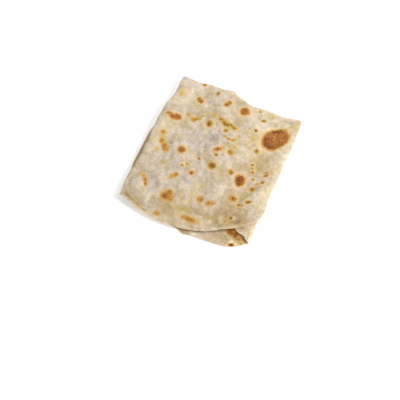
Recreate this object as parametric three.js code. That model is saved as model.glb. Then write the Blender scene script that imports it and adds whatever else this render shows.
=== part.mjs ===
import * as THREE from "three";

// A rumali roti, served folded. One oval sheet of thin wheat bread has its left and right sides folded
// in over its middle, and the strip that this leaves is folded across in half with both flaps inside.
// The packet lies flat, with the cross fold at the back (+y) and the round rims of the sheet in front.
// Sizes are millimetres. x runs across the packet, and "out" is the distance in front of the cross fold.

// The sheet, and the way from the middle of one layer to the next with the air between them
const THICKNESS = 1.2;
const PITCH = 1.8;

// Side folds: their line, and where it bends out from the straight (a positive width) or back in
const HALF_WIDTH = 69.5;
const LEFT_NICK = { depth: 1.5, at: 24, spread: 13 };
const TOP_LEFT_BENDS = [
  { width: 3.8, from: 18, to: 45 },
  { width: -1.3, from: 75, to: 92 },
  { width: 3, from: 100, to: 145 },
  { width: -1.5, from: 150, to: 168 },
];
const BOTTOM_LEFT_BENDS = [
  { width: 7.5, from: 35, to: 80 },
  { width: -3.5, from: 115, to: 145 },
];
const TOP_RIGHT_BENDS = [
  { width: -2.3, from: 35, to: 60 },
  { width: -1.5, from: 72, to: 88 },
  { width: 1.2, from: 100, to: 114 },
  { width: -3, from: 114, to: 135 },
];
const BOTTOM_RIGHT_BENDS = [
  { width: -2.5, from: 10, to: 50 },
  { width: -4.5, from: 60, to: 160 },
];

// A side turns over in a loop of this radius and comes down to lie flat within the fade. Towards the
// front the loops are pressed flatter, apart from the lower right one, which stands open
const LOOP_RADIUS = 2;
const PRESSED_LOOP = { change: -0.7, from: 80, to: 150 };
const OPEN_LOOP = { change: 1, from: 40, to: 160 };
const LOOP_FADE = 20;

// Cross fold: its left part stands further back than its right part, and its corners follow
const FOLD_STEP = { depth: 12, from: -18, to: 15 };
const FOLD_CORNER = { shift: 0.5, from: 51, to: 70 };

// Front rims of the two halves: where the furthest point is, and how the rim falls back to either side,
// and then round a side loop
const TOP_RIM = { reach: 169.8, at: -11, left: 12.9, leftPower: 2.6, right: 33, rightPower: 1.85 };
const BOTTOM_RIM = { reach: 172, at: 20, left: 22, leftPower: 2, right: 25, rightPower: 4.1 };
const LOOP_SETBACK = 3;

// Flaps: their length from the side fold, the powers of their rounded outline, and the blunt tip
const LEFT_FLAP = 94;
const RIGHT_FLAP = 84;
const ACROSS_POWER = 1.5;
const ALONG_POWER = 1.7;
const BLUNT_TIP = 1.03;

// A layer above stays up for a margin past a flap's edge, and then comes down over the drape's length
const MARGIN = 2;
const DRAPE = 26;

// The packet rests on the corners of its underside, and between them the sheet is lifted a little
const REST_LIFT = 0.3;
const REST_SPREAD = 16;
const REST_CORNERS = [
  { x: -58, out: 12 },
  { x: 58, out: 12 },
  { x: -56, out: 136 },
  { x: 54, out: 136 },
];

// Air that was shut in between the halves lifts the upper one in a few soft humps
const HUMPS = [
  { height: 2.4, x: 14, out: 62, across: 26, along: 34 },
  { height: 1.6, x: -34, out: 96, across: 24, along: 30 },
  { height: 1.5, x: 56, out: 112, across: 14, along: 24 },
  { height: 3.5, x: 38, out: 152, across: 13, along: 24 },
];

// Steps of the mesh across the sheet and along it
const FLAP_STEPS = 10;
const LOOP_STEPS = 5;
const BASE_STEPS = 20;
const LENGTH_STEPS = 20;
const FOLD_STEPS = 6;

// Rounds that settle where a line along the sheet meets the rim
const LENGTH_ROUNDS = 6;

const BREAD = new THREE.MeshStandardMaterial({ color: 0xd2be9f, roughness: 0.85, metalness: 0 });

const { clamp, lerp, smoothstep } = THREE.MathUtils;
const LEFT = -1;
const RIGHT = 1;
const TOP = {
  base: "top",
  leftBends: TOP_LEFT_BENDS,
  rightBends: TOP_RIGHT_BENDS,
  leftLoop: PRESSED_LOOP,
  rightLoop: PRESSED_LOOP,
  rim: TOP_RIM,
  inward: -1,
};
const BOTTOM = {
  base: "bottom",
  leftBends: BOTTOM_LEFT_BENDS,
  rightBends: BOTTOM_RIGHT_BENDS,
  leftLoop: PRESSED_LOOP,
  rightLoop: OPEN_LOOP,
  rim: BOTTOM_RIM,
  inward: 1,
};

function bell(t) {
  return Math.exp(-t * t);
}

function list(length, make) {
  return Array.from({ length }, (_, n) => make(n));
}

// x of a side fold's outside
function edge(half, side, out) {
  let width = HALF_WIDTH;
  for (const bend of side === LEFT ? half.leftBends : half.rightBends) {
    width += bend.width * smoothstep(out, bend.from, bend.to);
  }
  if (side === RIGHT) return width;
  return LEFT_NICK.depth * bell((out - LEFT_NICK.at) / LEFT_NICK.spread) - width;
}

function loopRadius(half, side, out) {
  const { change, from, to } = side === LEFT ? half.leftLoop : half.rightLoop;
  return LOOP_RADIUS + change * smoothstep(out, from, to);
}

// y of the cross fold's outside
function backY(x) {
  const step = FOLD_STEP.depth * (0.5 - smoothstep(x, FOLD_STEP.from, FOLD_STEP.to));
  return step - Math.sign(x) * FOLD_CORNER.shift * smoothstep(Math.abs(x), FOLD_CORNER.from, FOLD_CORNER.to);
}

// y of the line where the halves begin to turn into the cross fold
function foldY(x) {
  const { top, bottom } = layers(clamp(x, baseX(TOP, 0, 0), baseX(TOP, 1, 0)), 0);
  return backY(x) - (top - bottom + THICKNESS) / 2;
}

function rimY({ reach, at, left, leftPower, right, rightPower }, x) {
  if (x < at) return left * ((at - x) / (at + HALF_WIDTH)) ** leftPower - reach;
  return right * ((x - at) / (HALF_WIDTH - at)) ** rightPower - reach;
}

// x of a place between the two side folds, from 0 at the left loop's root to 1 at the right one's
function baseX(half, share, out) {
  const from = edge(half, LEFT, out) + loopRadius(half, LEFT, out);
  const to = edge(half, RIGHT, out) - loopRadius(half, RIGHT, out);
  return lerp(from, to, share);
}

// Length of the sheet from the cross fold to the rim, along a line at a fixed share of the width
function baseLength(half, share) {
  let length = half.rim.reach;
  for (let round = 0; round < LENGTH_ROUNDS; round++) {
    const x = baseX(half, share, length);
    length = foldY(x) - rimY(half.rim, x);
  }
  return length;
}

// One half of a side flap: its reach past the loop's root, and its length at that root, where its rim
// has fallen back a little from the rim of the sheet under the loop
function makeFlap(half, side, name) {
  const reach = (side === LEFT ? LEFT_FLAP : RIGHT_FLAP) - LOOP_RADIUS;
  return { half, side, name, reach, length: half.rim.reach };
}

const TOP_LEFT = makeFlap(TOP, LEFT, "topLeft");
const TOP_RIGHT = makeFlap(TOP, RIGHT, "topRight");
const BOTTOM_LEFT = makeFlap(BOTTOM, LEFT, "bottomLeft");
const BOTTOM_RIGHT = makeFlap(BOTTOM, RIGHT, "bottomRight");
for (const flap of [TOP_LEFT, TOP_RIGHT, BOTTOM_LEFT, BOTTOM_RIGHT]) {
  flap.length = baseLength(flap.half, flap.side === LEFT ? 0 : 1) - LOOP_SETBACK;
}

function flapOf(half, side) {
  if (half === TOP) return side === LEFT ? TOP_LEFT : TOP_RIGHT;
  return side === LEFT ? BOTTOM_LEFT : BOTTOM_RIGHT;
}

// Distance in from the root of a flap's loop
function inset({ half, side }, x, out) {
  return side * (edge(half, side, out) - x) - loopRadius(half, side, out);
}

// How far a flap holds up what lies over it: 1 over the flap, falling to 0 past its rounded edge
function support(flap, x, out) {
  const across = Math.max(inset(flap, x, out), 0) / flap.reach;
  const along = out / flap.length;
  const level = across ** ACROSS_POWER + along ** ALONG_POWER;
  const slope = Math.hypot(
    (ACROSS_POWER * across ** (ACROSS_POWER - 1)) / flap.reach,
    (ALONG_POWER * along ** (ALONG_POWER - 1)) / flap.length,
  );
  return 1 - smoothstep((level - 1) / slope, MARGIN, MARGIN + DRAPE);
}

// Extra room between a flap and the sheet that it is turned over from, next to the loop
function swell(flap, x, out) {
  const open = 2 * loopRadius(flap.half, flap.side, out) - PITCH;
  return open * (1 - smoothstep(inset(flap, x, out), 0, LOOP_FADE));
}

// Height of the underside, which comes down to 0 at the resting corners
function underside(x, out) {
  let lift = REST_LIFT;
  for (const corner of REST_CORNERS) {
    lift -= REST_LIFT * bell(Math.hypot(x - corner.x, out - corner.out) / REST_SPREAD);
  }
  return lift;
}

function humps(x, out) {
  let lift = 0;
  for (const hump of HUMPS) {
    lift += hump.height * bell((x - hump.x) / hump.across) * bell((out - hump.out) / hump.along);
  }
  return lift;
}

// Heights of the middle of the six layers at a place on the packet
function layers(x, out) {
  const bottom = underside(x, out) + THICKNESS / 2;
  const underRight = support(BOTTOM_RIGHT, x, out);
  const underLeft = support(BOTTOM_LEFT, x, out);
  const overRight = support(TOP_RIGHT, x, out);
  const overLeft = support(TOP_LEFT, x, out);
  const swellUnder =
    underRight * swell(BOTTOM_RIGHT, x, out) + underLeft * swell(BOTTOM_LEFT, x, out);
  const swellOverRight = swell(TOP_RIGHT, x, out);
  const swellOverLeft = swell(TOP_LEFT, x, out);
  const sheets = 1 + underRight + underLeft + overRight + overLeft;
  const top =
    bottom +
    PITCH * sheets +
    swellUnder +
    overRight * swellOverRight +
    overLeft * swellOverLeft +
    humps(x, out);
  return {
    bottom,
    bottomRight: bottom + PITCH + swell(BOTTOM_RIGHT, x, out),
    bottomLeft: bottom + PITCH * (1 + underRight) + swell(BOTTOM_LEFT, x, out),
    topLeft: top - PITCH * (1 + overRight) - swellOverLeft,
    topRight: top - PITCH - swellOverRight,
    top,
  };
}

// A column is a line along the sheet from the top rim over the cross fold to the bottom rim. Across
// the sheet, the columns run from the tip of the left flap, over its loop, the base and the right loop,
// to the tip of the right flap. "share" is the place within the zone, and grows away from the base.
function makeColumns() {
  const turnedOver = (side) => [
    ...list(LOOP_STEPS, (n) => ({ zone: "loop", side, share: (n + 1) / LOOP_STEPS })),
    ...list(FLAP_STEPS, (n) => ({ zone: "flap", side, share: (n + 1) / FLAP_STEPS })),
  ];
  const base = list(BASE_STEPS + 1, (n) => ({ zone: "base", share: n / BASE_STEPS }));
  return [...turnedOver(LEFT).reverse(), ...base, ...turnedOver(RIGHT)];
}

function columnLength(half, { zone, side, share }) {
  if (zone === "base") return baseLength(half, share);
  const { length } = flapOf(half, side);
  if (zone === "loop") return length + LOOP_SETBACK * (1 - share);
  return length * (1 - (share / BLUNT_TIP) ** ACROSS_POWER) ** (1 / ALONG_POWER);
}

// Where a column passes, in x and z, on one half of the packet
function place(half, { zone, side, share }, out) {
  if (zone === "base") {
    const x = baseX(half, share, out);
    return { x, z: layers(x, out)[half.base] };
  }
  const flap = flapOf(half, side);
  const radius = loopRadius(half, side, out);
  const root = edge(half, side, out) - side * radius;
  if (zone === "loop") {
    const turn = Math.PI * share;
    const rise = half.inward * radius * (1 - Math.cos(turn));
    return { x: root + side * radius * Math.sin(turn), z: layers(root, out)[half.base] + rise };
  }
  const x = root - side * share * flap.reach;
  return { x, z: layers(x, out)[flap.name] };
}

// Point of the sheet's middle surface. "way" is 0 at the top rim, 1 to 2 in the cross fold, 3 at the
// bottom rim.
function sheetPoint(column, way) {
  if (way < 1 || way > 2) {
    const half = way < 1 ? TOP : BOTTOM;
    const out = columnLength(half, column) * (way < 1 ? 1 - way : way - 2);
    const { x, z } = place(half, column, out);
    return new THREE.Vector3(x, foldY(x) - out, z);
  }
  const upper = place(TOP, column, 0);
  const lower = place(BOTTOM, column, 0);
  const turn = Math.PI * (way - 1);
  const radius = (upper.z - lower.z) / 2;
  const middle = (upper.z + lower.z) / 2;
  const y = foldY(upper.x) + radius * Math.sin(turn);
  return new THREE.Vector3(upper.x, y, middle + radius * Math.cos(turn));
}

function makeWays() {
  return [
    ...list(LENGTH_STEPS, (n) => n / LENGTH_STEPS),
    ...list(FOLD_STEPS, (n) => 1 + n / FOLD_STEPS),
    ...list(LENGTH_STEPS + 1, (n) => 2 + n / LENGTH_STEPS),
  ];
}

// The closed sheet: an outer and an inner face half the thickness off the middle surface, with their
// triangles alike, and a strip that joins them all round the rim
function makeSheet() {
  const columns = makeColumns();
  const ways = makeWays();
  const middle = columns.map((column) => ways.map((way) => sheetPoint(column, way)));
  const lastColumn = columns.length - 1;
  const lastWay = ways.length - 1;

  const positions = [];
  for (const side of [1, -1]) {
    for (let i = 0; i <= lastColumn; i++) {
      for (let j = 0; j <= lastWay; j++) {
        const across = middle[Math.min(i + 1, lastColumn)][j].clone();
        across.sub(middle[Math.max(i - 1, 0)][j]);
        const along = middle[i][Math.min(j + 1, lastWay)].clone();
        along.sub(middle[i][Math.max(j - 1, 0)]);
        const normal = across.cross(along).normalize();
        positions.push(...middle[i][j].clone().addScaledVector(normal, (side * THICKNESS) / 2));
      }
    }
  }

  const outer = (i, j) => i * ways.length + j;
  const inner = (i, j) => outer(i, j) + columns.length * ways.length;
  const triangles = [];
  for (let i = 0; i < lastColumn; i++) {
    for (let j = 0; j < lastWay; j++) {
      triangles.push(outer(i, j), outer(i + 1, j), outer(i + 1, j + 1));
      triangles.push(outer(i, j), outer(i + 1, j + 1), outer(i, j + 1));
      triangles.push(inner(i, j), inner(i + 1, j + 1), inner(i + 1, j));
      triangles.push(inner(i, j), inner(i, j + 1), inner(i + 1, j + 1));
    }
  }
  const rim = [
    ...list(lastColumn, (n) => [n, 0]),
    ...list(lastWay, (n) => [lastColumn, n]),
    ...list(lastColumn, (n) => [lastColumn - n, lastWay]),
    ...list(lastWay, (n) => [0, lastWay - n]),
  ];
  rim.forEach((here, n) => {
    const next = rim[(n + 1) % rim.length];
    triangles.push(outer(...here), inner(...here), inner(...next));
    triangles.push(outer(...here), inner(...next), outer(...next));
  });

  const geometry = new THREE.BufferGeometry();
  geometry.setAttribute("position", new THREE.Float32BufferAttribute(positions, 3));
  geometry.setIndex(triangles);
  return geometry;
}

// The origin is in the middle of the packet's length and width, on the surface that it lies on
function standAtOrigin(geometry) {
  geometry.computeBoundingBox();
  const centre = geometry.boundingBox.getCenter(new THREE.Vector3());
  geometry.translate(-centre.x, -centre.y, -geometry.boundingBox.min.z);
  geometry.computeVertexNormals();
  return geometry;
}

const roti = new THREE.Mesh(standAtOrigin(makeSheet()), BREAD);
roti.name = "roti";

const part = new THREE.Group();
part.add(roti);

export default part;
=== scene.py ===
from math import cos, pi, radians, sin

import bpy
import numpy as np
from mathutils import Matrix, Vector


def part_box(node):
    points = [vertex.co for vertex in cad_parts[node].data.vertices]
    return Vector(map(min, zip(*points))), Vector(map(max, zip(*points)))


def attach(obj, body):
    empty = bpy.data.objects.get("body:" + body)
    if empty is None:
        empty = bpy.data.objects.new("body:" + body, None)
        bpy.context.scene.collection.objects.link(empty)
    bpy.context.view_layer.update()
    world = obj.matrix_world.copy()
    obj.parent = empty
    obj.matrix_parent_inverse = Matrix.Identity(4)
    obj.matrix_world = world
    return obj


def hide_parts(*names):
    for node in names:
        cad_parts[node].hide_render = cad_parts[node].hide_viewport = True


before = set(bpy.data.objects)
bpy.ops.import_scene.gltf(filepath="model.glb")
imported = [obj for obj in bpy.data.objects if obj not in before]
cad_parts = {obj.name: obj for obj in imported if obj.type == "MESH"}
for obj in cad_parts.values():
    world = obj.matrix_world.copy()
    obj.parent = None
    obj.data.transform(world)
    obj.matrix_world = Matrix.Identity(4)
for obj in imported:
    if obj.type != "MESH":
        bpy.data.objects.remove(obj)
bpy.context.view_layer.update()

# Folded sheet
# A rumali roti is one oval of soft wheat dough, stretched by hand until it is thin as cloth and baked
# for moments on a hot domed griddle. Its two sides are folded in over its middle, and the strip that
# this leaves is folded across in half with both flaps inside. Sizes in this section are millimetres.
THICKNESS = 1.2
PITCH = 1.8
HALF_WIDTH = 69.5
LOOP_RADIUS = 2
LOOP_FADE = 20
LOOP_SETBACK = 3
MARGIN = 2
DRAPE = 26
ACROSS_POWER = 1.5
ALONG_POWER = 1.7
BLUNT_TIP = 1.03
TINY = 1e-6
LENGTH_ROUNDS = 6
LEFT = -1
RIGHT = 1
FLAP_LENGTH = {LEFT: 94, RIGHT: 84}

# Amounts that come in between two distances in front of the cross fold, or across it
PRESSED_LOOP = (-0.7, 80, 150)
OPEN_LOOP = (1, 40, 160)
FOLD_STEP = (-12, -18, 15)
FOLD_CORNER = (0.5, 51, 70)
LEFT_NICK = dict(depth=1.5, at=24, spread=13)
TOP = dict(
    name="top",
    inward=-1,
    bends={
        LEFT: ((3.8, 18, 45), (-1.3, 75, 92), (3, 100, 145), (-1.5, 150, 168)),
        RIGHT: ((-2.3, 35, 60), (-1.5, 72, 88), (1.2, 100, 114), (-3, 114, 135)),
    },
    loops={LEFT: PRESSED_LOOP, RIGHT: PRESSED_LOOP},
    rim=dict(reach=169.8, at=-11, left=12.9, left_power=2.6, right=33, right_power=1.85),
)
BOTTOM = dict(
    name="bottom",
    inward=1,
    bends={LEFT: ((7.5, 35, 80), (-3.5, 115, 145)), RIGHT: ((-2.5, 10, 50), (-4.5, 60, 160))},
    loops={LEFT: PRESSED_LOOP, RIGHT: OPEN_LOOP},
    rim=dict(reach=172, at=20, left=22, left_power=2, right=25, right_power=4.1),
)
REST_LIFT = 0.3
REST_SPREAD = 16
REST_CORNERS = ((-58, 12), (58, 12), (-56, 136), (54, 136))
HUMPS = (
    dict(height=2.4, x=14, out=62, across=26, along=34),
    dict(height=1.6, x=-34, out=96, across=24, along=30),
    dict(height=1.5, x=56, out=112, across=14, along=24),
    dict(height=3.5, x=38, out=152, across=13, along=24),
)


def ease(value, start, end):
    share = np.clip((value - start) / (end - start), 0, 1)
    return share * share * (3 - 2 * share)


def come_in(value, amount, start, end):
    return amount * ease(value, start, end)


def bell(offset):
    return np.exp(-offset * offset)


def loop_radius(half, side, out):
    return LOOP_RADIUS + come_in(out, *half["loops"][side])


def edge(half, side, out):
    """x of a side fold's outside, at a distance in front of the cross fold."""
    width = HALF_WIDTH + sum(come_in(out, *bend) for bend in half["bends"][side])
    if side == RIGHT:
        return width
    return LEFT_NICK["depth"] * bell((out - LEFT_NICK["at"]) / LEFT_NICK["spread"]) - width


def base_x(half, share, out):
    """x of a place between the roots of the two side loops, from 0 at the left to 1 at the right."""
    start = edge(half, LEFT, out) + loop_radius(half, LEFT, out)
    end = edge(half, RIGHT, out) - loop_radius(half, RIGHT, out)
    return start + (end - start) * share


def back_y(x):
    """y of the cross fold's outside."""
    return come_in(x, *FOLD_STEP) - FOLD_STEP[0] / 2 - np.sign(x) * come_in(abs(x), *FOLD_CORNER)


def fold_y(x):
    """y of the line where the two halves begin to turn into the cross fold."""
    stack = layers(np.clip(x, base_x(TOP, 0, 0), base_x(TOP, 1, 0)), 0 * x)
    return back_y(x) - (stack["top"] - stack["bottom"] + THICKNESS) / 2


def rim_y(rim, x):
    """y of a half's rim, a blunt curve with its furthest point at one place across."""
    left = np.maximum(rim["at"] - x, 0) / (HALF_WIDTH + rim["at"])
    right = np.maximum(x - rim["at"], 0) / (HALF_WIDTH - rim["at"])
    set_back = rim["left"] * left ** rim["left_power"] + rim["right"] * right ** rim["right_power"]
    return set_back - rim["reach"]


def base_length(half, share):
    """Length from the cross fold to the rim, along a line at a fixed share of the width."""
    length = 0 * share + half["rim"]["reach"]
    for _ in range(LENGTH_ROUNDS):
        x = base_x(half, share, length)
        length = fold_y(x) - rim_y(half["rim"], x)
    return length


FLAPS = {
    (half["name"], side): dict(
        half=half,
        side=side,
        reach=FLAP_LENGTH[side] - LOOP_RADIUS,
        length=half["rim"]["reach"],
    )
    for half in (TOP, BOTTOM)
    for side in (LEFT, RIGHT)
}


def inset(flap, x, out):
    """Distance in from the root of a flap's loop."""
    half, side = flap["half"], flap["side"]
    return side * (edge(half, side, out) - x) - loop_radius(half, side, out)


def support(flap, x, out):
    """1 over a flap, falling to 0 past its rounded edge, where what lies over it comes down."""
    across = np.maximum(inset(flap, x, out), TINY) / flap["reach"]
    along = np.maximum(out, TINY) / flap["length"]
    level = across**ACROSS_POWER + along**ALONG_POWER
    slope = np.hypot(
        ACROSS_POWER * across ** (ACROSS_POWER - 1) / flap["reach"],
        ALONG_POWER * along ** (ALONG_POWER - 1) / flap["length"],
    )
    return 1 - ease((level - 1) / slope, MARGIN, MARGIN + DRAPE)


def swell(flap, x, out):
    """Extra room next to the loop, between a flap and the sheet that it is turned over from."""
    room = 2 * loop_radius(flap["half"], flap["side"], out) - PITCH
    return room * (1 - ease(inset(flap, x, out), 0, LOOP_FADE))


def layers(x, out):
    """Heights of the middle of the six layers at places on the packet."""
    held = {key: support(flap, x, out) for key, flap in FLAPS.items()}
    swollen = {key: swell(flap, x, out) for key, flap in FLAPS.items()}
    bottom = THICKNESS / 2 + REST_LIFT + 0 * x
    for corner_x, corner_out in REST_CORNERS:
        bottom = bottom - REST_LIFT * bell(np.hypot(x - corner_x, out - corner_out) / REST_SPREAD)
    top = bottom + PITCH * (1 + sum(held.values())) + sum(held[key] * swollen[key] for key in FLAPS)
    for hump in HUMPS:
        across = bell((x - hump["x"]) / hump["across"])
        top = top + hump["height"] * across * bell((out - hump["out"]) / hump["along"])
    return {
        "bottom": bottom,
        ("bottom", RIGHT): bottom + PITCH + swollen["bottom", RIGHT],
        ("bottom", LEFT): bottom + PITCH * (1 + held["bottom", RIGHT]) + swollen["bottom", LEFT],
        ("top", LEFT): top - PITCH * (1 + held["top", RIGHT]) - swollen["top", LEFT],
        ("top", RIGHT): top - PITCH - swollen["top", RIGHT],
        "top": top,
    }


for (_, side), flap in FLAPS.items():
    root_share = np.array([0.0 if side == LEFT else 1.0])
    flap["length"] = float(base_length(flap["half"], root_share)[0]) - LOOP_SETBACK

# Across, the mesh runs from the tip of the left flap over its loop, the base and the right loop to the
# tip of the right flap. Along, it runs from the upper rim round the cross fold to the lower rim. Its steps
# crowd towards the loops in the flaps, and towards the rim in the lower half.
FLAP_STEPS = 20
LOOP_STEPS = 8
BASE_STEPS = 132
TOP_STEPS = 154
FOLD_STEPS = 12
BOTTOM_STEPS = 74
FLAP_CROWDING = 2
RIM_CROWDING = 1.35
flap_shares = (np.arange(1, FLAP_STEPS + 1) / FLAP_STEPS) ** FLAP_CROWDING
loop_shares = np.arange(1, LOOP_STEPS + 1) / LOOP_STEPS
base_shares = np.arange(BASE_STEPS + 1) / BASE_STEPS
ZONES = (
    ("flap", LEFT, flap_shares[::-1]),
    ("loop", LEFT, loop_shares[::-1]),
    ("base", 0, base_shares),
    ("loop", RIGHT, loop_shares),
    ("flap", RIGHT, flap_shares),
)


def half_sheet(half, steps):
    """x, z, distance from the cross fold and distance to the rim, a row for each column of the mesh."""
    rows = []
    for zone, side, shares in ZONES:
        share = shares[:, None]
        if zone == "base":
            length = base_length(half, shares)[:, None]
            out = length * steps
            x = base_x(half, share, out)
            rows.append((x, layers(x, out)[half["name"]], out, length - out))
            continue
        flap = FLAPS[half["name"], side]
        if zone == "loop":
            length = flap["length"] + LOOP_SETBACK * (1 - share)
            tip = flap["reach"] + 0 * share
        else:
            length = flap["length"] * (1 - (share / BLUNT_TIP) ** ACROSS_POWER) ** (1 / ALONG_POWER)
            tip = flap["reach"] * (1 - share)
        out = length * steps
        to_rim = np.minimum(length - out, tip)
        radius = loop_radius(half, side, out)
        root = edge(half, side, out) - side * radius
        if zone == "loop":
            x = root + side * radius * np.sin(pi * share)
            rise = half["inward"] * radius * (1 - np.cos(pi * share))
            rows.append((x, layers(root, out)[half["name"]] + rise, out, to_rim))
        else:
            x = root - side * share * flap["reach"]
            rows.append((x, layers(x, out)[half["name"], side], out, to_rim))
    return [np.vstack(parts) for parts in zip(*rows)]


top_x, top_z, top_out, top_to_rim = half_sheet(TOP, np.linspace(1, 0, TOP_STEPS + 1))
bottom_steps = 1 - np.linspace(1, 0, BOTTOM_STEPS + 1) ** RIM_CROWDING
bottom_x, bottom_z, bottom_out, bottom_to_rim = half_sheet(BOTTOM, bottom_steps)
turn = pi * np.arange(1, FOLD_STEPS) / FOLD_STEPS
fold_x = top_x[:, -1:] + 0 * turn
fold_radius = (top_z[:, -1:] - bottom_z[:, :1]) / 2
fold_middle = (top_z[:, -1:] + bottom_z[:, :1]) / 2
sheet = np.stack(
    (
        np.hstack((top_x, fold_x, bottom_x)),
        np.hstack((
            fold_y(top_x) - top_out,
            fold_y(fold_x) + fold_radius * np.sin(turn),
            fold_y(bottom_x) - bottom_out,
        )),
        np.hstack((top_z, fold_middle + fold_radius * np.cos(turn), bottom_z)),
    ),
    axis=-1,
)
to_rim = np.hstack((top_to_rim, top_to_rim[:, -1:] + 0 * fold_x, bottom_to_rim))
across, along = sheet.shape[:2]

# The packet is centred as in the frame
roti_low, roti_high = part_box("roti")
middle = np.array((roti_low + roti_high) / 2) * 1000
sheet[..., :2] += middle[:2] - (sheet[..., :2].max((0, 1)) + sheet[..., :2].min((0, 1))) / 2

# Parts of the mesh: the face that lies on top, and the base, the loops and the flaps of the lower half
SIDE_STEPS = FLAP_STEPS + LOOP_STEPS
LOWER_LEFT_SIDE = np.s_[:SIDE_STEPS, -BOTTOM_STEPS:]
LOWER_RIGHT_LOOP = np.s_[-SIDE_STEPS:-FLAP_STEPS, -BOTTOM_STEPS:]
LOWER_RIGHT_FLAP = np.s_[-FLAP_STEPS:, -BOTTOM_STEPS:]
upper = np.zeros((across, along), bool)
upper[FLAP_STEPS + LOOP_STEPS // 2 : -FLAP_STEPS - LOOP_STEPS // 2, : TOP_STEPS + 1] = True
lower_base = np.zeros((across, along), bool)
lower_base[SIDE_STEPS:-SIDE_STEPS, -BOTTOM_STEPS:] = True
lower_flap = np.zeros((across, along), bool)
lower_flap[LOWER_RIGHT_FLAP] = True

# Flat place of each point on the unfolded dough, which the baked patterns follow
FOLD_ARC = 15
flat_width = 2 * (HALF_WIDTH - LOOP_RADIUS)
loop_arc = pi * LOOP_RADIUS
flat_across = np.concatenate([
    {
        "base": flat_width * (shares - 0.5),
        "loop": side * (flat_width / 2 + loop_arc * shares),
        "flap": side * (flat_width / 2 + loop_arc + FLAP_LENGTH.get(side, 0) * shares),
    }[zone]
    for zone, side, shares in ZONES
])
flat_along = np.hstack((
    top_out + FOLD_ARC / 2,
    FOLD_ARC * (0.5 - turn / pi) + 0 * fold_x,
    -bottom_out - FOLD_ARC / 2,
))
flat = np.stack((flat_across[:, None] + 0 * flat_along, flat_along), axis=-1)


def facing(points):
    """Unit normals of a grid of points, from the steps to its neighbours."""
    step_across = np.empty_like(points)
    step_across[1:-1] = points[2:] - points[:-2]
    step_across[0] = points[1] - points[0]
    step_across[-1] = points[-1] - points[-2]
    step_along = np.empty_like(points)
    step_along[:, 1:-1] = points[:, 2:] - points[:, :-2]
    step_along[:, 0] = points[:, 1] - points[:, 0]
    step_along[:, -1] = points[:, -1] - points[:, -2]
    normal = np.cross(step_across, step_along)
    return normal / np.linalg.norm(normal, axis=-1, keepdims=True)


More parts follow.
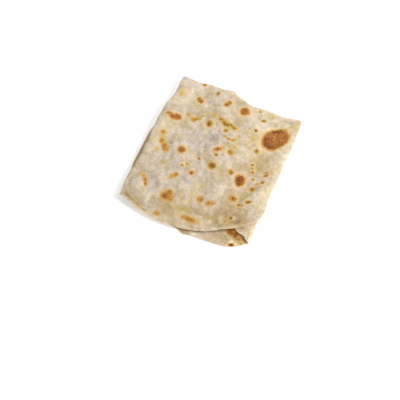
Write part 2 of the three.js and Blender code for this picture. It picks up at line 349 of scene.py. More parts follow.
# Baked spots
# Where the dough blistered against the hot griddle it browned: a few large patches and many small
# specks, each on a low bubble. Those on the upper face are placed as they lie, in millimetres from the
# packet's middle: x, y, length, width, turn from x in degrees, depth of browning, and redness.
TOP_SPOTS = (
    # the large oval with its darker places, and the strong round ones
    (54.7, 42.4, 31, 24, 54, 0.8, 0.8),
    (46, 39.5, 7, 5, 70, 1.0, 1.0),
    (50, 33, 9, 5, -10, 1.0, 1.0),
    (53, 31.5, 10, 3, 10, 0.95, 0.6),
    (55, 54.5, 14, 3.5, 25, 0.95, 0.4),
    (36.5, -17.5, 13, 10, 100, 0.75, 0.9),
    (33, -17, 5, 4, 90, 1.0, 0.4),
    (37, -15, 7, 4, 100, 1.0, 1.0),
    (37, -22, 4, 3, 20, 0.95, 0.6),
    (13.5, 63.5, 10, 9, 40, 0.8, 0.8),
    (-31.5, -4.5, 8.5, 7.5, 90, 0.75, 0.9),
    # by the cross fold
    (-40, 84.6, 3.5, 2.5, 21, 0.9, 0.2),
    (-39, 65, 4, 4, 0, 0.75, 0.3),
    (-35.5, 62.5, 5.5, 4.5, -30, 0.85, 0.4),
    (-21, 77.5, 3, 2.5, 0, 0.55, 0.1),
    (-7.5, 66, 5, 4.5, 50, 0.8, 0.4),
    (-5.5, 69, 4, 3.5, 20, 0.85, 0.4),
    (29, 69.5, 2, 1.8, 0, 0.7, 0.0),
    (36, 59, 4.2, 2.5, 30, 0.8, 0.0),
    (32.5, 44, 2.8, 2.5, 0, 0.9, 0.0),
    (33, 33, 5.5, 3, 80, 0.25, 0.1),
    (41, 22, 4, 4, 0, 0.8, 0.0),
    (42, 68.5, 6, 3, 21, 0.2, 0.0),
    (66, 62.5, 5, 2.5, 25, 0.25, 0.2),
    (-58.5, 63, 3, 2.8, 60, 0.36, 0.3),
    # by the left fold
    (-61, 33.5, 5, 4, 30, 0.65, 0.6),
    (-56.5, 31.5, 7, 5.5, 20, 0.7, 0.8),
    (-52, 33.5, 8.5, 7.5, 20, 0.8, 0.8),
    (-58, 10, 4.5, 4, 0, 0.5, 0.1),
    (-57.5, 3.5, 3.5, 3, 0, 0.3, 0.3),
    (-55, -1, 6.8, 5, 110, 0.42, 0.6),
    (-51, -4.5, 8, 6, 120, 0.4, 0.7),
    (-48, -8, 6.5, 5, 110, 0.45, 0.5),
    (-56, -12.5, 4.5, 3.5, 20, 0.3, 0.3),
    (-60, -45.5, 6, 2.5, 10, 0.2, 0.3),
    (-56, -46.5, 4.5, 2.5, -30, 0.4, 0.5),
    (-53, -49.5, 5, 3, -70, 0.55, 0.6),
    (-51, -53.5, 4.5, 2.5, -75, 0.5, 0.2),
    # the middle, from the back to the front
    (-42, 41.5, 4.5, 3, -30, 0.35, 0.0),
    (-34, 38, 6.5, 4.5, 0, 0.45, 0.3),
    (-31, 40.5, 4.5, 3.5, 40, 0.45, 0.2),
    (-26, 44.5, 2, 2, 0, 0.3, 0.0),
    (-16, 36, 6, 5.5, 100, 0.8, 0.4),
    (-14.5, 48, 5, 4, 60, 0.3, 0.1),
    (3, 41.5, 23, 5, -20, 0.33, 0.3),
    (-6, 45, 4, 3, -20, 0.9, 0.4),
    (-1, 40.5, 5, 3.5, -40, 0.85, 0.2),
    (3, 40, 2.5, 2, 0, 0.85, 0.3),
    (6.5, 41, 3.5, 2.6, 10, 0.65, 0.3),
    (11.5, 38.5, 4.5, 3, -10, 0.75, 0.4),
    (3.5, 32.5, 4.5, 3.5, 20, 0.8, 0.0),
    (5.5, 24.5, 2, 2, 0, 0.35, 0.2),
    (10, 23, 3, 1.8, -10, 0.6, 0.3),
    (14.5, 22.5, 3, 2, 0, 0.8, 0.5),
    (16.5, 25, 2, 2, 0, 0.35, 0.2),
    (18, 30, 2.5, 2, 0, 0.3, 0.0),
    (19, 16, 5, 3, 0, 0.25, 0.0),
    (4, 7.5, 8, 4, 40, 0.85, 0.8),
    (4.5, 0.5, 2.8, 2.2, 0, 0.8, 0.1),
    (17, 8.5, 5, 5, 90, 0.7, 0.15),
    (5, -12.5, 7, 6.5, 90, 0.8, 0.3),
    (-24.5, -21.5, 2, 1.6, 0, 0.8, 0.0),
    (-20, -18, 2, 1.6, 0, 0.8, 0.0),
    (-11, -8, 2.2, 1.8, 0, 0.7, 0.0),
    (-12.5, -26, 4.5, 4, 0, 0.75, 0.5),
    (-43, -24, 4.5, 4, 0, 0.25, 0.0),
    (-30, -37, 4, 3, 60, 0.5, 0.2),
    (-27, -34, 4.5, 3.5, 30, 0.55, 0.5),
    (3.5, -36, 4, 3.5, 0, 0.2, 0.0),
    (-26, -58.5, 11.5, 9.5, 20, 0.42, 0.6),
    (-25, -54, 5, 4, 60, 0.75, 0.4),
    (-31, -59.5, 3, 2.7, 40, 0.55, 0.5),
    (-26.5, -59, 6, 4.5, 20, 0.62, 0.9),
    (-20.5, -61, 3, 2.7, 20, 0.4, 0.4),
    (16, -51.5, 4.5, 3, 60, 0.45, 0.6),
    (19.5, -50.5, 5, 3, 10, 0.38, 0.8),
    (-5, -65.5, 15, 2.5, 3, 0.22, 0.0),
    (4.5, -74.5, 14.5, 3.4, 0, 0.65, 0.6),
    (-28, -79.5, 5, 4.5, 30, 0.44, 0.6),
    # by the right fold
    (25, -12, 5, 4.5, 0, 0.65, 0.3),
    (43.5, 0, 2.2, 1.8, 0, 0.9, 0.1),
    (42.5, 4.5, 3.2, 1.8, 30, 0.85, 0.1),
    (45.5, -4, 2.2, 1.8, 90, 0.9, 0.0),
    (48, -11.5, 2.5, 2.2, 0, 1.0, 0.0),
    (59, -1, 4, 1.5, 30, 0.6, 0.2),
    (60, -4.5, 4.5, 2, 40, 0.8, 0.3),
    (59, -13.5, 3.2, 2.2, 40, 1.0, 0.0),
    (54.5, -16.5, 2.5, 2, 0, 0.5, 0.6),
    (52, -24, 4.5, 4.5, 0, 0.75, 0.3),
    (35.5, -39.5, 6, 5.5, 90, 0.35, 0.8),
    (38.5, -39.5, 4.5, 3.2, 80, 0.9, 0.5),
    (53.5, -39.5, 4.5, 2.5, 20, 0.85, 0.2),
    (50, -34, 8, 2.5, 45, 0.25, 0.0),
    (45, -44.5, 3.5, 2.5, 0, 0.8, 0.4),
    (48.5, -45, 2, 1.5, 0, 0.6, 0.0),
    (42.5, -61.5, 3, 2.4, 20, 1.0, 0.0),
)
RING_SPOT = dict(x=6, y=-49.5, radius=2.2, lobes=7, size=3, depth=0.65, redness=0.3)
BROWN_SPREAD = 0.9
SMALL_SPOT = 2.6
SMALL_CRISPNESS = 1.8
SPOT_REACH = 1.2
SPOT_RISE = 0.13
OUTER = 0
INNER = 1
UNBAKED = -6
AWAY = 1e4
toast = np.full((2, across, along), float(UNBAKED))
char = np.zeros((2, across, along))
ruddy = np.zeros((2, across, along))
relief = np.zeros((across, along))


def bake_spot(face, where, x, y, length, width, angle, depth, redness, crisp=1):
    """Marks how far inside a spot's edge each point lies, and how it baked. Returns the spot's bubble."""
    forward = (where[..., 0] - x) * cos(angle) + (where[..., 1] - y) * sin(angle)
    sideways = (where[..., 1] - y) * cos(angle) - (where[..., 0] - x) * sin(angle)
    ring = np.hypot(forward / (length / 2), sideways / (width / 2))
    inside = (1 - ring) * width / 2 * crisp
    over = (inside > 0) | (inside > toast[face])
    char[face][over] = depth
    ruddy[face][over] = redness
    toast[face] = np.maximum(toast[face], inside)
    return np.clip(1 - (ring / SPOT_REACH) ** 2, 0, 1) ** 2


# Faint specks by chance, then the placed spots, small ones with crisper edges, and one spot that is a ring
SPECK_COUNT = 90
SPECK_WIDTH = (1, 2.2)
SPECK_STRETCH = 1.3
SPECK_DEPTH = 0.16
SPECK_X = (-70, 70)
SPECK_Y = (-88, 86)
plan = sheet[..., :2].copy()
plan_x, plan_y = plan[..., 0], plan[..., 1]
upper_place = np.where(upper[..., None], plan, AWAY)
chance = np.random.default_rng(7)
for _ in range(SPECK_COUNT):
    width = chance.uniform(*SPECK_WIDTH)
    x, y = chance.uniform(*SPECK_X), chance.uniform(*SPECK_Y)
    angle = chance.uniform(0, pi)
    bake_spot(OUTER, upper_place, x, y, SPECK_STRETCH * width, width, angle, SPECK_DEPTH, redness=0)
for x, y, length, width, angle, depth, redness in TOP_SPOTS:
    spread = (length + BROWN_SPREAD, width + BROWN_SPREAD)
    crisp = SMALL_CRISPNESS if width < SMALL_SPOT else 1
    bubble = bake_spot(OUTER, upper_place, x, y, *spread, radians(angle), depth, redness, crisp)
    relief += SPOT_RISE * np.sqrt(width) * bubble
for lobe in range(RING_SPOT["lobes"]):
    angle = 2 * pi * lobe / RING_SPOT["lobes"]
    x = RING_SPOT["x"] + RING_SPOT["radius"] * cos(angle)
    y = RING_SPOT["y"] + RING_SPOT["radius"] * sin(angle)
    size = RING_SPOT["size"]
    bake_spot(OUTER, upper_place, x, y, size, size, 0, RING_SPOT["depth"], RING_SPOT["redness"])

# Stains inside the open front, on the lower half: an ochre one and a brown one over it, and a dark
# painted shade at the rim, under the pinch's tent, where the hollow lies in shadow. They are placed as
# the spots are, with the crispness of their edge last.
INNER_STAINS_AND_SHADE = (
    (58, -75, 22, 12, -20, 0.3, 0.2, 1),
    (48.3, -72, 12.5, 9, -14, 0.7, 0.7, 1),
    # painted shade: the dark one under the pinch's tent
    (51.2, -85.4, 6, 3.4, 15, 1.0, 0.2, 3),
)
lower_place = np.where(lower_base[..., None], plan, AWAY)
for x, y, length, width, angle, depth, redness, crisp in INNER_STAINS_AND_SHADE:
    bake_spot(INNER, lower_place, x, y, length, width, radians(angle), depth, redness, crisp)

# The rest of the sheet, mostly out of sight, is browned by chance, apart from what shows in front
FRONT_STRIP = 30
FREE_SPOTS = {OUTER: 150, INNER: 190}
FREE_X = (-165, 165)
FREE_Y = (-175, 175)
LEAST_WIDTH = 2.5
MEAN_EXTRA_WIDTH = 2.2
FREE_STRETCH = (1, 1.8)
FREE_DEPTH = (0.3, 0.9)
FREE_REDNESS = (0, 0.8)
in_front = lower_base & (to_rim < FRONT_STRIP)
free_place = {
    OUTER: np.where((upper | lower_flap)[..., None], AWAY, flat),
    INNER: np.where(in_front[..., None], AWAY, flat),
}
for face, spot_count in FREE_SPOTS.items():
    for _ in range(spot_count):
        width = LEAST_WIDTH + MEAN_EXTRA_WIDTH * chance.exponential()
        bake_spot(
            face,
            free_place[face],
            chance.uniform(*FREE_X),
            chance.uniform(*FREE_Y),
            width * chance.uniform(*FREE_STRETCH),
            width,
            chance.uniform(0, pi),
            chance.uniform(*FREE_DEPTH),
            chance.uniform(*FREE_REDNESS),
        )

# Slow tones of the upper face: x, y, size across, size along, and amount. In the first list a plus is
# tanned and a minus is pinkish. Some of it is painted shade: the darker left front corner, a mauve
# painted shadow of a crease at x -4, y 21, and the tan along the front, which is partly the bread's
# own tan and partly painted shade. The second list is of paler places, partly flour and partly painted
# light along the right fold and at the back left.
TONES_AND_PAINTED_SHADE = (
    (44, -22, 10, 36, 0.6),
    (49, 10, 10, 14, 0.8),
    (40, -58, 15, 13, 0.9),
    (2, -66, 20, 9, 0.8),
    (-26, -72, 16, 9, 0.5),
    (-65, -73, 9, 9, 0.9),
    (-58, 5, 8, 25, 0.2),
    (10, 42, 16, 12, 0.4),
    (-24, 76, 14, 7, 0.4),
    (-18, 10, 20, 16, -0.8),
    (-4, 21, 6, 8, -2.0),
    (-16, -36, 22, 14, -0.8),
    (-54, -20, 10, 14, -0.5),
    (-44, -52, 14, 14, -1.0),
    (-38, -22, 14, 12, -0.5),
    (14, -12, 10, 9, 0.6),
    (-11, 39, 9, 8, 0.5),
    (0, -44, 10, 7, 0.3),
    (-35, -66, 9, 6, 0.5),
    (54, -63, 11, 7, 0.8),
)
# Paler places: partly flour, partly painted light along the right fold and at the back left
FLOURY_AND_PAINTED_LIGHT = (
    (-52, 62, 12, 14, 0.5),
    (21, -73, 9, 6, 0.45),
    (66, -30, 9, 22, 0.7),
    (70, 22, 7, 26, 0.6),
    (-56, -60, 6, 6, 0.6),
    (-58, 22, 8, 22, 0.5),
    (-50, -28, 12, 12, 0.3),
)

# Lines on the packet, from one end to the other: a fold's crest or groove, or a crease
LIP_LINE = ((-66.5, -66), (-64.3, -71), (-57.6, -74.8), (-47.6, -79), (-40, -81))
GROOVE = ((-66, -59), (-62, -66), (-55, -71.5), (-49, -76))
SEAM = ((41.4, -42.9), (51.1, -28.8), (54.9, -21.6), (67.8, -10.9))
CREST = ((-6.3, -70.5), (0, -69.7), (8.4, -69.4), (13.5, -69.1))
PINCH = ((47, -87.5), (50.2, -81.6), (56.5, -85))


def near(x, y, size_across, size_along):
    """1 at a place on the plan, falling to 0 round it."""
    return bell((plan_x - x) / size_across) * bell((plan_y - y) / size_along)


def broad(patches):
    """Sum of the patches on the upper face."""
    return upper * sum(amount * near(*place) for *place, amount in patches)


def line_gap(points):
    """Distance of each point of the plan from a line through some points."""
    nearest = np.full((across, along), AWAY)
    for start, end in zip(np.array(points[:-1]), np.array(points[1:])):
        run = end - start
        share = np.clip(((plan - start) @ run) / (run @ run), 0, 1)
        nearest = np.minimum(nearest, np.linalg.norm(plan - start - share[..., None] * run, axis=-1))
    return nearest


def lined(lines):
    """Sum of what follows some lines, each with its points, its amount and its half width."""
    return sum(amount * bell(line_gap(points) / width) for points, amount, width in lines)


# Painted shade: tan along the lip line, the groove and the seam, where shade falls in these creases
PAINTED_SHADE_LINES = ((LIP_LINE, 1.1, 1.4), (GROOVE, 0.4, 2), (SEAM, 0.5, 2))
# Paler along the crest near the front
PALE_CREST_LINES = ((CREST, 0.5, 1.8),)
# Painted warm shade on the lower half's left side fold, which lies in the upper half's shadow
SIDE_PAINTED_SHADE = 1
SIDE_FLOUR = 1
# The lower flap is floury and pale, and partly painted light that makes it look brightly lit
FLAP_FLOUR_AND_LIGHT = 1.3
# A painted shadow on the lower flap just in front of the upper rim: darker and less floury there
FLAP_PAINTED_SHADOW = (56, -66, 6, 3)
FLAP_SHADOW_AMOUNT = 0.8
# Paler along the upper rim's lip, partly its thin pale edge and partly a painted highlight, less round x
# 14
RIM_PALE_AND_HIGHLIGHT = dict(amount=0.6, reach=3, bare_x=14, bare_spread=22)
# The tone gathers painted shade with the bread's tan and pink, the flour painted light with real flour
tone_and_shade = broad(TONES_AND_PAINTED_SHADE)
tone_and_shade[LOWER_LEFT_SIDE] = SIDE_PAINTED_SHADE
tone_and_shade += upper * lined(PAINTED_SHADE_LINES) + FLAP_SHADOW_AMOUNT * lower_flap * near(*FLAP_PAINTED_SHADOW)
flour_and_light = broad(FLOURY_AND_PAINTED_LIGHT) + lower_flap * (FLAP_FLOUR_AND_LIGHT - near(*FLAP_PAINTED_SHADOW))
flour_and_light[LOWER_RIGHT_LOOP] = SIDE_FLOUR
bare_stretch = bell((plan_x - RIM_PALE_AND_HIGHLIGHT["bare_x"]) / RIM_PALE_AND_HIGHLIGHT["bare_spread"])
flour_and_light += upper * RIM_PALE_AND_HIGHLIGHT["amount"] * bell(to_rim / RIM_PALE_AND_HIGHLIGHT["reach"]) * (1 - bare_stretch)
flour_and_light += upper * lined(PALE_CREST_LINES)

# The strip of the lower half that shows in front has painted shade at its left end, under the upper
# half's rim, and is tan beside its pinch. Painted highlights make it pale at the lit tip of its pleat and
# along the pinch's ridge, and painted light makes the corner by its right fold paler. Some come in
# between two places across.
# Painted shade at the strip's left end, under the upper half's rim
STRIP_LEFT_PAINTED_SHADE = (1.1, 12, 4)
STRIP_RIGHT_TONE = (0.2, 14, 30)
STRIP_TAN = (43.8, -82.3, 5, 5)
STRIP_FLOUR = (0.4, 12, 18)
# Painted highlights on the lit tip of the pleat and on the pinch's ridge
PLEAT_PAINTED_HIGHLIGHT = (12, -87.5, 5, 5)
PINCH_PAINTED_HIGHLIGHT = ((PINCH, 0.6, 1.2),)
# Painted light that makes the shaded corner by the lower half's right fold paler
CORNER_PAINTED_LIGHT = (62, -76, 10, 10)
CORNER_LIGHT_AMOUNT = 0.8
CORNER_STEPS = 30
strip_tones_and_shade = come_in(plan_x, *STRIP_LEFT_PAINTED_SHADE) + come_in(plan_x, *STRIP_RIGHT_TONE)
inner_tone_and_shade = lower_base * (strip_tones_and_shade + near(*STRIP_TAN))
inner_flour_and_light = lower_base * (lined(PINCH_PAINTED_HIGHLIGHT) + near(*PLEAT_PAINTED_HIGHLIGHT) + come_in(plan_x, *STRIP_FLOUR))
by_fold = np.s_[-SIDE_STEPS - CORNER_STEPS : -FLAP_STEPS, -BOTTOM_STEPS:]
inner_flour_and_light[by_fold] += CORNER_LIGHT_AMOUNT * near(*CORNER_PAINTED_LIGHT)[by_fold]

# Unevenness of the upper face: creases and ridges along lines, with a height and a half width, blisters
# at x and y with a size, with a pale top that is partly thinner dough and partly a painted highlight and
# a tan foot that is painted shade, low bubbles by chance, slow and fine ripples, and a lip along the rim
# with a dip behind it
CREASES = (
    (LIP_LINE, -0.9, 1.2),
    (GROOVE, -0.8, 2),
    (((-60, -55), (-54, -62), (-46, -69)), 1.3, 4),
    (SEAM, -0.45, 2.2),
    (((48, -46), (58, -28), (68, -17)), 0.9, 4.5),
    (((-12.6, -67.2), (-3.2, -64.1), (5.7, -62.6)), -0.8, 1.8),
    (((-10.4, -62), (1.3, -59.4)), 0.6, 2),
    (CREST, 0.7, 2),
    (((-23.3, 26.7), (-17, 31), (-7.9, 30.3), (-0.1, 24.4), (4, 16.1)), -0.6, 1.8),
)
BLISTERS = (
    (36, -51.2, 2),
    (51.3, -52.4, 2.4),
    (32.6, -64.5, 4.2),
    (46.6, -61, 3),
    (34.8, -68.5, 2.2),
    (23.5, -70.7, 3),
)
BLISTER_RISE = 0.3
# Pale blister tops, partly thinner dough and partly a painted highlight, and tan feet of painted shade
BLISTER_TOP_PALE_AND_HIGHLIGHT = dict(flour_and_light=0.7, narrowing=1.2)
BLISTER_FOOT_SHADE = dict(tone_and_shade=0.4, radius=1.5, spread=0.6)
LOW_BUBBLES = dict(count=260, x=(-72, 72), y=(-85, 85), size=(2.5, 6), rise=0.1)
SLOW_RIPPLE = dict(size=26, seed=3)
SLOW_HEIGHT = 0.85
PUFF = 0.4
PUFF_FROM_RIM = 14
FINE_RIPPLE = dict(size=9, seed=4)
FINE_HEIGHT = 0.36
RIPPLE_WAVES = 14
RIPPLE_LENGTHS = (0.7, 1.4)
LIP = dict(height=0.6, spread=2.6)
DIP = dict(depth=0.9, from_rim=6, spread=2.2)
DEEPEST = -0.5


def ripple(size, seed):
    """Even unevenness of about the given size, mostly between -1 and 1."""
    draw = np.random.default_rng(seed)
    total = np.zeros((across, along))
    for _ in range(RIPPLE_WAVES):
        heading = draw.uniform(0, 2 * pi)
        phase = draw.uniform(0, 2 * pi)
        length = size * draw.uniform(*RIPPLE_LENGTHS)
        total += np.sin(2 * pi * (plan @ (cos(heading), sin(heading))) / length + phase)
    return total / np.sqrt(2 * RIPPLE_WAVES)


relief += lined(CREASES)
for x, y, size in BLISTERS:
    ring = np.hypot(plan_x - x, plan_y - y) / size
    relief += BLISTER_RISE * size * bell(ring)
    flour_and_light += BLISTER_TOP_PALE_AND_HIGHLIGHT["flour_and_light"] * upper * bell(BLISTER_TOP_PALE_AND_HIGHLIGHT["narrowing"] * ring)
    tone_and_shade += BLISTER_FOOT_SHADE["tone_and_shade"] * upper * bell((ring - BLISTER_FOOT_SHADE["radius"]) / BLISTER_FOOT_SHADE["spread"])
for _ in range(LOW_BUBBLES["count"]):
    x, y = chance.uniform(*LOW_BUBBLES["x"]), chance.uniform(*LOW_BUBBLES["y"])
    size = chance.uniform(*LOW_BUBBLES["size"])
    ring = np.hypot(plan_x - x, plan_y - y) / size
    relief += LOW_BUBBLES["rise"] * size * np.clip(1 - ring**2, 0, 1) ** 2
relief += ease(to_rim, 0, PUFF_FROM_RIM) * (PUFF + SLOW_HEIGHT * ripple(**SLOW_RIPPLE))
relief += FINE_HEIGHT * ripple(**FINE_RIPPLE)
relief += LIP["height"] * bell(to_rim / LIP["spread"])
relief -= DIP["depth"] * bell((to_rim - DIP["from_rim"]) / DIP["spread"])
relief = np.where(relief < 0, DEEPEST * np.tanh(relief / DEEPEST), relief)
face_up = np.clip(facing(sheet)[..., 2], 0, 1) * upper
sheet += (face_up * relief)[..., None] * facing(sheet)

# The open front: the upper rim comes down over the lower flap, whose fold is pressed flatter towards the
# front and whose rim is wavy. The lower rim has a tab, a small pleat and a tent-shaped pinch. The upper
# half's left corner hangs forward, and the line of the cross fold wavers. As with the folds, three numbers
# are an amount and the two places that it comes in between, across or towards the front.
RIM_SAG = ((1.2, 38, 48), (0.9, 50, 60))
SAG_END = (64, 69)
SAG_FROM_RIM = 6
FLAP_PRESS = (2.4, 56, 70)
PRESS_FADE = (2, 22)
WAVE_COMES_IN = (66, 72)
WAVE_FROM_RIM = 5
WAVE_PHASE = 5.7
WAVE_SWING = (0.7, 0.7, 0.3)
FLAP_DRAWN_BACK = (1.6, 60, 68)
DRAWN_FROM_RIM = 6
PLEAT_RISE = (1.5, 9, 11.5)
PLEAT_FALL = (0.8, 14, 36)
PLEAT_COMES_IN = (83, 88)
PINCH_RISE = ((PINCH, 1.6, 1.4),)
TAB = dict(length=2, x=4, spread=5)
TAB_COMES_IN = (82, 88)
HANGING_CORNER = (-70, -67, 7, 7)
CORNER_SHIFT = (1.5, -5.5)
# Small shifts of the cross fold's line: x, spread, and how far back
CROSS_FOLD_SHIFTS = ((-36, 9, 1.5), (-17, 6, -1), (-7, 4, 1.6), (8, 6, 1.2))
SHIFT_COMES_IN = (55, 82)
sag = sum(come_in(plan_x, *stretch) for stretch in RIM_SAG) * (1 - ease(plan_x, *SAG_END))
sheet[..., 2] -= upper * sag * bell(to_rim / SAG_FROM_RIM)
pressed = np.zeros((across, along))
pressed[LOWER_RIGHT_FLAP] = 1 - ease(FLAP_LENGTH[RIGHT] * flap_shares, *PRESS_FADE)[:, None]
pressed[LOWER_RIGHT_LOOP] = (1 - np.cos(pi * loop_shares))[:, None] / 2
sheet[..., 2] -= pressed * come_in(-plan_y, *FLAP_PRESS)
wave = bell(to_rim / WAVE_FROM_RIM) * ease(-plan_y, *WAVE_COMES_IN) * np.sin(plan_y + WAVE_PHASE)
sheet += (lower_flap * wave)[..., None] * WAVE_SWING
sheet[..., 0] += lower_flap * bell(to_rim / DRAWN_FROM_RIM) * come_in(-plan_y, *FLAP_DRAWN_BACK)
pleat = come_in(plan_x, *PLEAT_RISE) * (1 - come_in(plan_x, *PLEAT_FALL)) * ease(-plan_y, *PLEAT_COMES_IN)
sheet[..., 2] += lower_base * (pleat + lined(PINCH_RISE))
tab = TAB["length"] * bell((plan_x - TAB["x"]) / TAB["spread"]) * ease(-plan_y, *TAB_COMES_IN)
sheet[..., 1] -= lower_base * tab
sheet[:, :TOP_STEPS, :2] += near(*HANGING_CORNER)[:, :TOP_STEPS, None] * CORNER_SHIFT
for x, spread, shift in CROSS_FOLD_SHIFTS:
    sheet[..., 1] += shift * bell((plan_x - x) / spread) * ease(plan_y, *SHIFT_COMES_IN)

# Closed mesh: an outer and an inner face, thinner towards the rim and joined round it
RIM_RINGS = 3
RIM_THIN = 0.5
RIM_FADE = 7
half_thick = THICKNESS / 2 * (RIM_THIN + (1 - RIM_THIN) * ease(to_rim, 0, RIM_FADE))[..., None]
normal = facing(sheet)
outer = sheet + normal * half_thick
inner = sheet - normal * half_thick
grid = np.arange(across * along).reshape(across, along)
rim = np.concatenate((grid[:-1, 0], grid[-1, :-1], grid[:0:-1, -1], grid[0, :0:-1]))
rim_middle = sheet.reshape(-1, 3)[rim]
rim_normal = normal.reshape(-1, 3)[rim]
rim_along = np.roll(rim_middle, -1, 0) - np.roll(rim_middle, 1, 0)
rim_out = np.cross(rim_along, rim_normal)
rim_out /= np.linalg.norm(rim_out, axis=-1, keepdims=True)

count = across * along
rings = [rim]
points = [outer.reshape(-1, 3), inner.reshape(-1, 3)]
for ring in range(1, RIM_RINGS + 1):
    bend = pi * ring / (RIM_RINGS + 1)
    outward = rim_normal * cos(bend) + rim_out * sin(bend)
    points.append(rim_middle + outward * half_thick.reshape(-1, 1)[rim])
    rings.append(2 * count + (ring - 1) * len(rim) + np.arange(len(rim)))
rings.append(rim + count)
points = np.concatenate(points)
points[:, 2] = np.maximum(points[:, 2], 0)

quads = np.stack((grid[:-1, :-1], grid[1:, :-1], grid[1:, 1:], grid[:-1, 1:]), axis=-1).reshape(-1, 4)
faces = [quads, quads[:, ::-1] + count]
for ring, following in zip(rings, rings[1:]):
    faces.append(np.stack((ring, following, np.roll(following, -1), np.roll(ring, -1)), axis=-1))
faces = np.concatenate(faces)

bread_mesh = bpy.data.meshes.new("folded_roti")
bread_mesh.from_pydata((points / 1000).tolist(), [], faces.tolist())
bread_mesh.polygons.foreach_set("use_smooth", np.ones(len(faces), bool))

# Values for each point: its place on the flat dough, moved on for the inner face so that the two faces'
# patterns differ, then how it baked, its tone with the painted shade, and its flour with the painted light
# and highlights. The rim has those of the outer face.
FACE_SHIFT = 500
flat_points = flat.reshape(-1, 2)
rim_share = np.tile(rim, RIM_RINGS)


def keep(name, kind, field, values):
    """Stores a value for each point of the mesh: outer face, inner face, then the rim's rings."""
    attribute = bread_mesh.attributes.new(name, kind, "POINT")
    attribute.data.foreach_set(field, np.ascontiguousarray(values, dtype=np.float32).ravel())


dough = np.concatenate((
    np.column_stack((flat_points, np.zeros(count))),
    np.column_stack((flat_points, np.full(count, FACE_SHIFT))),
    np.column_stack((flat_points[rim_share], np.zeros(len(rim_share)))),
))
keep("dough", "FLOAT_VECTOR", "vector", dough)
for name, (on_outer, on_inner) in (
    ("toast", toast),
    ("char", char),
    ("ruddy", ruddy),
    ("tone_and_shade", (tone_and_shade, inner_tone_and_shade)),
    ("flour_and_light", (flour_and_light, inner_flour_and_light)),
):
    on_outer = on_outer.ravel()
    keep(name, "FLOAT", "value", np.concatenate((on_outer, on_inner.ravel(), on_outer[rim_share])))

# Layout for baked pictures: the unfolded outer face, the inner face, and the rim as a narrow strip
OUTER_CHART = np.array(((0.01, 0.01), (0.59, 0.98)))
INNER_CHART = np.array(((0.62, 0.01), (0.35, 0.98)))
RIM_CHART = np.array(((0.975, 0.01), (0.02, 0.98)))
chart = (flat_points - flat_points.min(0)) / (flat_points.max(0) - flat_points.min(0))
corners = [
    OUTER_CHART[0] + OUTER_CHART[1] * chart[quads],
    INNER_CHART[0] + INNER_CHART[1] * chart[quads[:, ::-1]],
]
rim_run = np.arange(len(rim)) / len(rim)
rim_step = 1 / len(rim)
for ring in range(RIM_RINGS + 1):
    sides = (ring / (RIM_RINGS + 1), (ring + 1) / (RIM_RINGS + 1))
    strip = [
        np.column_stack((0 * rim_run + sides[side], rim_run + ahead * rim_step))
        for side, ahead in ((0, 0), (1, 0), (1, 1), (0, 1))
    ]
    corners.append(RIM_CHART[0] + RIM_CHART[1] * np.stack(strip, axis=1))
layout = bread_mesh.uv_layers.new(name="OFBake")
layout.data.foreach_set("uv", np.concatenate(corners).astype(np.float32).ravel())


# Bread
# Pale baked wheat dough: cream with soft pink and yellow clouds, fine pores, and browned spots that
# have a pale halo, an ochre edge and a brown middle. The patterns follow the flat dough, in millimetres.
def screen(red, green, blue):
    """A screen colour from 0 to 255 as the linear colour that a shader takes."""
    share = np.array((red, green, blue)) / 255
    return (*np.where(share <= 0.04045, share / 12.92, ((share + 0.055) / 1.055) ** 2.4), 1.0)


def add(tree, kind, inputs=None, **settings):
    """Adds a node. An input is a value, or the output socket that feeds it."""
    node = tree.nodes.new(kind)
    for name, value in settings.items():
        setattr(node, name, value)
    for socket, value in (inputs or {}).items():
        if isinstance(value, bpy.types.NodeSocket):
            tree.links.new(value, node.inputs[socket])
        else:
            node.inputs[socket].default_value = value
    return node


def noise(tree, place, size, detail=2.0, roughness=0.5):
    """Soft noise with features of about a size in millimetres."""
    inputs = {"Vector": place, "Scale": 1 / size, "Detail": detail, "Roughness": roughness}
    return add(tree, "ShaderNodeTexNoise", inputs).outputs["Fac"]


def shifted(tree, place, shift):
    """The place moved on, so that two noises don't follow each other."""
    return add(tree, "ShaderNodeVectorMath", {0: place, 1: shift}).outputs[0]


def between(tree, value, low, high, to_low=0.0, to_high=1.0):
    """Goes softly from one amount to another while a value goes from low to high."""
    inputs = {"Value": value, "From Min": low, "From Max": high, "To Min": to_low, "To Max": to_high}
    return add(tree, "ShaderNodeMapRange", inputs, interpolation_type="SMOOTHSTEP").outputs["Result"]


def combine(tree, operation, first, second):
    """Two values added, subtracted or multiplied."""
    return add(tree, "ShaderNodeMath", {0: first, 1: second}, operation=operation).outputs[0]


def paint(tree, factor, below, above):
    """One colour laid over another, as thick as the factor."""
    return add(tree, "ShaderNodeMix", {0: factor, 6: below, 7: above}, data_type="RGBA").outputs[2]


def shade(tree, factor, colour):
    """A colour made darker or lighter."""
    return add(tree, "ShaderNodeHueSaturation", {"Value": factor, "Color": colour}).outputs["Color"]


bread = bpy.data.materials.new("bread")
bread.use_nodes = True
tree = bread.node_tree
tree.nodes.clear()
place = add(tree, "ShaderNodeAttribute", attribute_name="dough").outputs["Vector"]
inside = add(tree, "ShaderNodeAttribute", attribute_name="toast").outputs["Fac"]
depth = add(tree, "ShaderNodeAttribute", attribute_name="char").outputs["Fac"]
redness = add(tree, "ShaderNodeAttribute", attribute_name="ruddy").outputs["Fac"]
warmth_and_shade = add(tree, "ShaderNodeAttribute", attribute_name="tone_and_shade").outputs["Fac"]
floury_and_light = add(tree, "ShaderNodeAttribute", attribute_name="flour_and_light").outputs["Fac"]

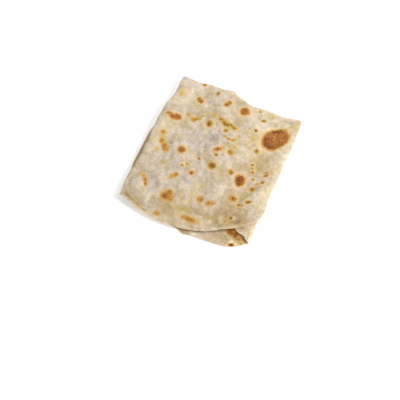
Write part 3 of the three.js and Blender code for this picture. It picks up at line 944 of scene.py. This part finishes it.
# Dough colour, from slow clouds to fine pores. Each coat comes in while a pattern goes from one value to
# another, up to an amount: darker and milkier patches, straw and rosy clouds, tan and deep tan, pinkish
# and mauve tones, and flour. The tan, deep tan and mauve coats also lay on the painted shade, and the
# flour coat the painted light and highlights.
CREAM = screen(210, 189, 153)
PINKISH_CREAM = screen(214, 197, 180)
clouds = noise(tree, place, size=30)
hue = noise(tree, shifted(tree, place, (37, 11, 5)), size=9, detail=1)
mottle = noise(tree, place, size=5, detail=3, roughness=0.55)
grain = noise(tree, place, size=1.6, roughness=0.6)
patches = noise(tree, shifted(tree, place, (13, 71, 3)), size=13)
coats = (
    (patches, 0.5, 0.34, 0.7, screen(190, 168, 132)),
    (patches, 0.5, 0.66, 0.75, screen(230, 214, 192)),
    (hue, 0.5, 0.3, 0.65, screen(206, 187, 138)),
    (hue, 0.5, 0.7, 0.6, screen(221, 204, 188)),
    (warmth_and_shade, 0.0, 1.0, 0.75, screen(188, 160, 110)),
    (warmth_and_shade, 1.0, 2.0, 0.75, screen(140, 112, 70)),
    (warmth_and_shade, 0.0, -1.0, 0.75, screen(211, 197, 184)),
    (warmth_and_shade, -1.0, -2.0, 0.75, screen(178, 158, 146)),
    (floury_and_light, 0.0, 1.3, 1.0, screen(240, 222, 187)),
)
pale = paint(tree, between(tree, clouds, 0.35, 0.65), CREAM, PINKISH_CREAM)
for pattern, start, end, amount, colour in coats:
    pale = paint(tree, between(tree, pattern, start, end, to_high=amount), pale, colour)
pale = shade(tree, between(tree, mottle, 0.3, 0.7, 0.89, 1.1), pale)
pale = shade(tree, between(tree, grain, 0.3, 0.7, 1.12, 0.87), pale)

# Browned spots with ragged edges, in layers that come in one after another towards their middle: a pale
# halo, an ochre edge, brown, amber blisters in the largest ones, and scorching in the deepest ones
RAGGED_EDGES = ((3, 3.2), (1.1, 2.0))
HALO = screen(240, 217, 176)
FAINT_OCHRE = screen(206, 186, 92)
OCHRE = screen(210, 166, 66)
RED_OCHRE = screen(218, 157, 72)
BROWN = screen(128, 92, 24)
RED_BROWN = screen(156, 92, 30)
AMBER = screen(196, 131, 66)
SCORCHED = screen(126, 66, 20)
into = inside
for size, amount in RAGGED_EDGES:
    wobble = combine(tree, "SUBTRACT", noise(tree, place, size), 0.5)
    into = combine(tree, "ADD", into, combine(tree, "MULTIPLY", wobble, amount))
halo = between(tree, into, -4.5, -0.8)
halo = combine(tree, "MULTIPLY", halo, between(tree, depth, 0.2, 0.9, to_high=0.5))
skin = paint(tree, halo, pale, HALO)
golden = paint(tree, redness, OCHRE, RED_OCHRE)
golden = paint(tree, between(tree, depth, 0.2, 0.42), FAINT_OCHRE, golden)
ochre = between(tree, into, -2.6, 1.2)
ochre = combine(tree, "MULTIPLY", ochre, between(tree, depth, 0.0, 0.45, 0.2, 0.97))
skin = paint(tree, ochre, skin, golden)
baked = combine(tree, "ADD", depth, between(tree, mottle, 0.35, 0.65, -0.2, 0.22))
brown = combine(tree, "MULTIPLY", between(tree, into, -1.0, 2.8), between(tree, baked, 0.18, 0.78))
skin = paint(tree, brown, skin, paint(tree, redness, BROWN, RED_BROWN))
blister = noise(tree, place, size=2.4)
heart = between(tree, into, 2.0, 5.0)
heart = combine(tree, "MULTIPLY", heart, between(tree, blister, 0.4, 0.6, to_high=0.85))
skin = paint(tree, heart, skin, AMBER)
scorch = combine(tree, "MULTIPLY", between(tree, into, 0.2, 2.4), between(tree, depth, 0.75, 1.0))
scorch = combine(tree, "MULTIPLY", scorch, between(tree, mottle, 0.35, 0.65, 0.5, 1.0))
skin = paint(tree, scorch, skin, SCORCHED)

# Relief: low domes of shut-in air, and the fine grain of the flour
DOME_SIZE = 4.5
DOME_HEIGHT = 0.65
MOTTLE_HEIGHT = 0.45
GRAIN_HEIGHT = 0.4
domes = add(
    tree,
    "ShaderNodeTexVoronoi",
    {"Vector": place, "Scale": 1 / DOME_SIZE, "Smoothness": 0.6},
    feature="SMOOTH_F1",
).outputs["Distance"]
height = combine(tree, "MULTIPLY", domes, -DOME_HEIGHT)
for pattern, amount in ((mottle, MOTTLE_HEIGHT), (grain, GRAIN_HEIGHT)):
    height = combine(tree, "ADD", height, combine(tree, "MULTIPLY", pattern, amount))
bump = add(tree, "ShaderNodeBump", {"Strength": 0.8, "Distance": 0.001, "Height": height})
surface = add(
    tree,
    "ShaderNodeBsdfPrincipled",
    {
        "Base Color": skin,
        "Roughness": between(tree, mottle, 0.3, 0.7, 0.62, 0.82),
        "Normal": bump.outputs["Normal"],
        "Specular IOR Level": 0.3,
        "Subsurface Weight": 0.35,
        "Subsurface Radius": (1.0, 0.6, 0.35),
        "Subsurface Scale": 0.0015,
    },
)
add(tree, "ShaderNodeOutputMaterial", {"Surface": surface.outputs["BSDF"]})
bread_mesh.materials.append(bread)

roti = bpy.data.objects.new("folded_roti", bread_mesh)
bpy.context.scene.collection.objects.link(roti)
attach(roti, "root")
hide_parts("roti")

# Studio
# A plain white floor in soft light from the right, from behind and more weakly from the front, and a
# camera that looks down on the packet from its front right. Sizes here are metres.
FLOOR_SIZE = 6
FLOOR_DROP = 0.0002
half_floor = FLOOR_SIZE / 2
floor_mesh = bpy.data.meshes.new("floor")
floor_mesh.from_pydata(
    [(x, y, 0) for x, y in ((-1, -1), (1, -1), (1, 1), (-1, 1))],
    [],
    [(0, 1, 2, 3)],
)
floor = bpy.data.objects.new("floor", floor_mesh)
floor.scale = (half_floor, half_floor, 1)
floor.location.z = -FLOOR_DROP
bpy.context.scene.collection.objects.link(floor)
floor_paint = bpy.data.materials.new("floor_paint")
floor_paint.use_nodes = True
matt = floor_paint.node_tree.nodes["Principled BSDF"]
matt.inputs["Base Color"].default_value = (0.93, 0.93, 0.93, 1)
matt.inputs["Roughness"].default_value = 0.9
matt.inputs["Emission Color"].default_value = (1, 1, 1, 1)
matt.inputs["Emission Strength"].default_value = 0.3
floor_mesh.materials.append(floor_paint)

world = bpy.data.worlds.new("studio")
bpy.context.scene.world = world
world.use_nodes = True
world.node_tree.nodes["Background"].inputs["Color"].default_value = (1, 1, 1, 1)
world.node_tree.nodes["Background"].inputs["Strength"].default_value = 0.27


def lamp(name, place, size, power):
    """A square soft lamp that points at the packet."""
    light = bpy.data.lights.new(name, "AREA")
    light.size = size
    light.energy = power
    lit = bpy.data.objects.new(name, light)
    lit.location = place
    lit.rotation_euler = (-Vector(place)).to_track_quat("-Z", "Y").to_euler()
    bpy.context.scene.collection.objects.link(lit)


lamp("key", (0.46, 0.06, 0.5), size=0.24, power=3.1)
lamp("rear", (-0.05, 0.5, 0.36), size=0.4, power=1.7)
lamp("fill", (-0.15, -0.7, 0.25), size=0.4, power=1.6)

ELEVATION = radians(60)
AZIMUTH = radians(21)
DISTANCE = 0.65
AIM = Vector((0.00559, -0.0485, 0))
camera = bpy.data.cameras.new("camera")
camera.lens = 58.5
camera.sensor_width = 36
viewer = bpy.data.objects.new("camera", camera)
back = Vector((sin(AZIMUTH) * cos(ELEVATION), -cos(AZIMUTH) * cos(ELEVATION), sin(ELEVATION)))
viewer.location = AIM + DISTANCE * back
viewer.rotation_euler = back.to_track_quat("Z", "Y").to_euler()
bpy.context.scene.collection.objects.link(viewer)
bpy.context.scene.camera = viewer
bpy.context.scene.view_settings.view_transform = "Standard"
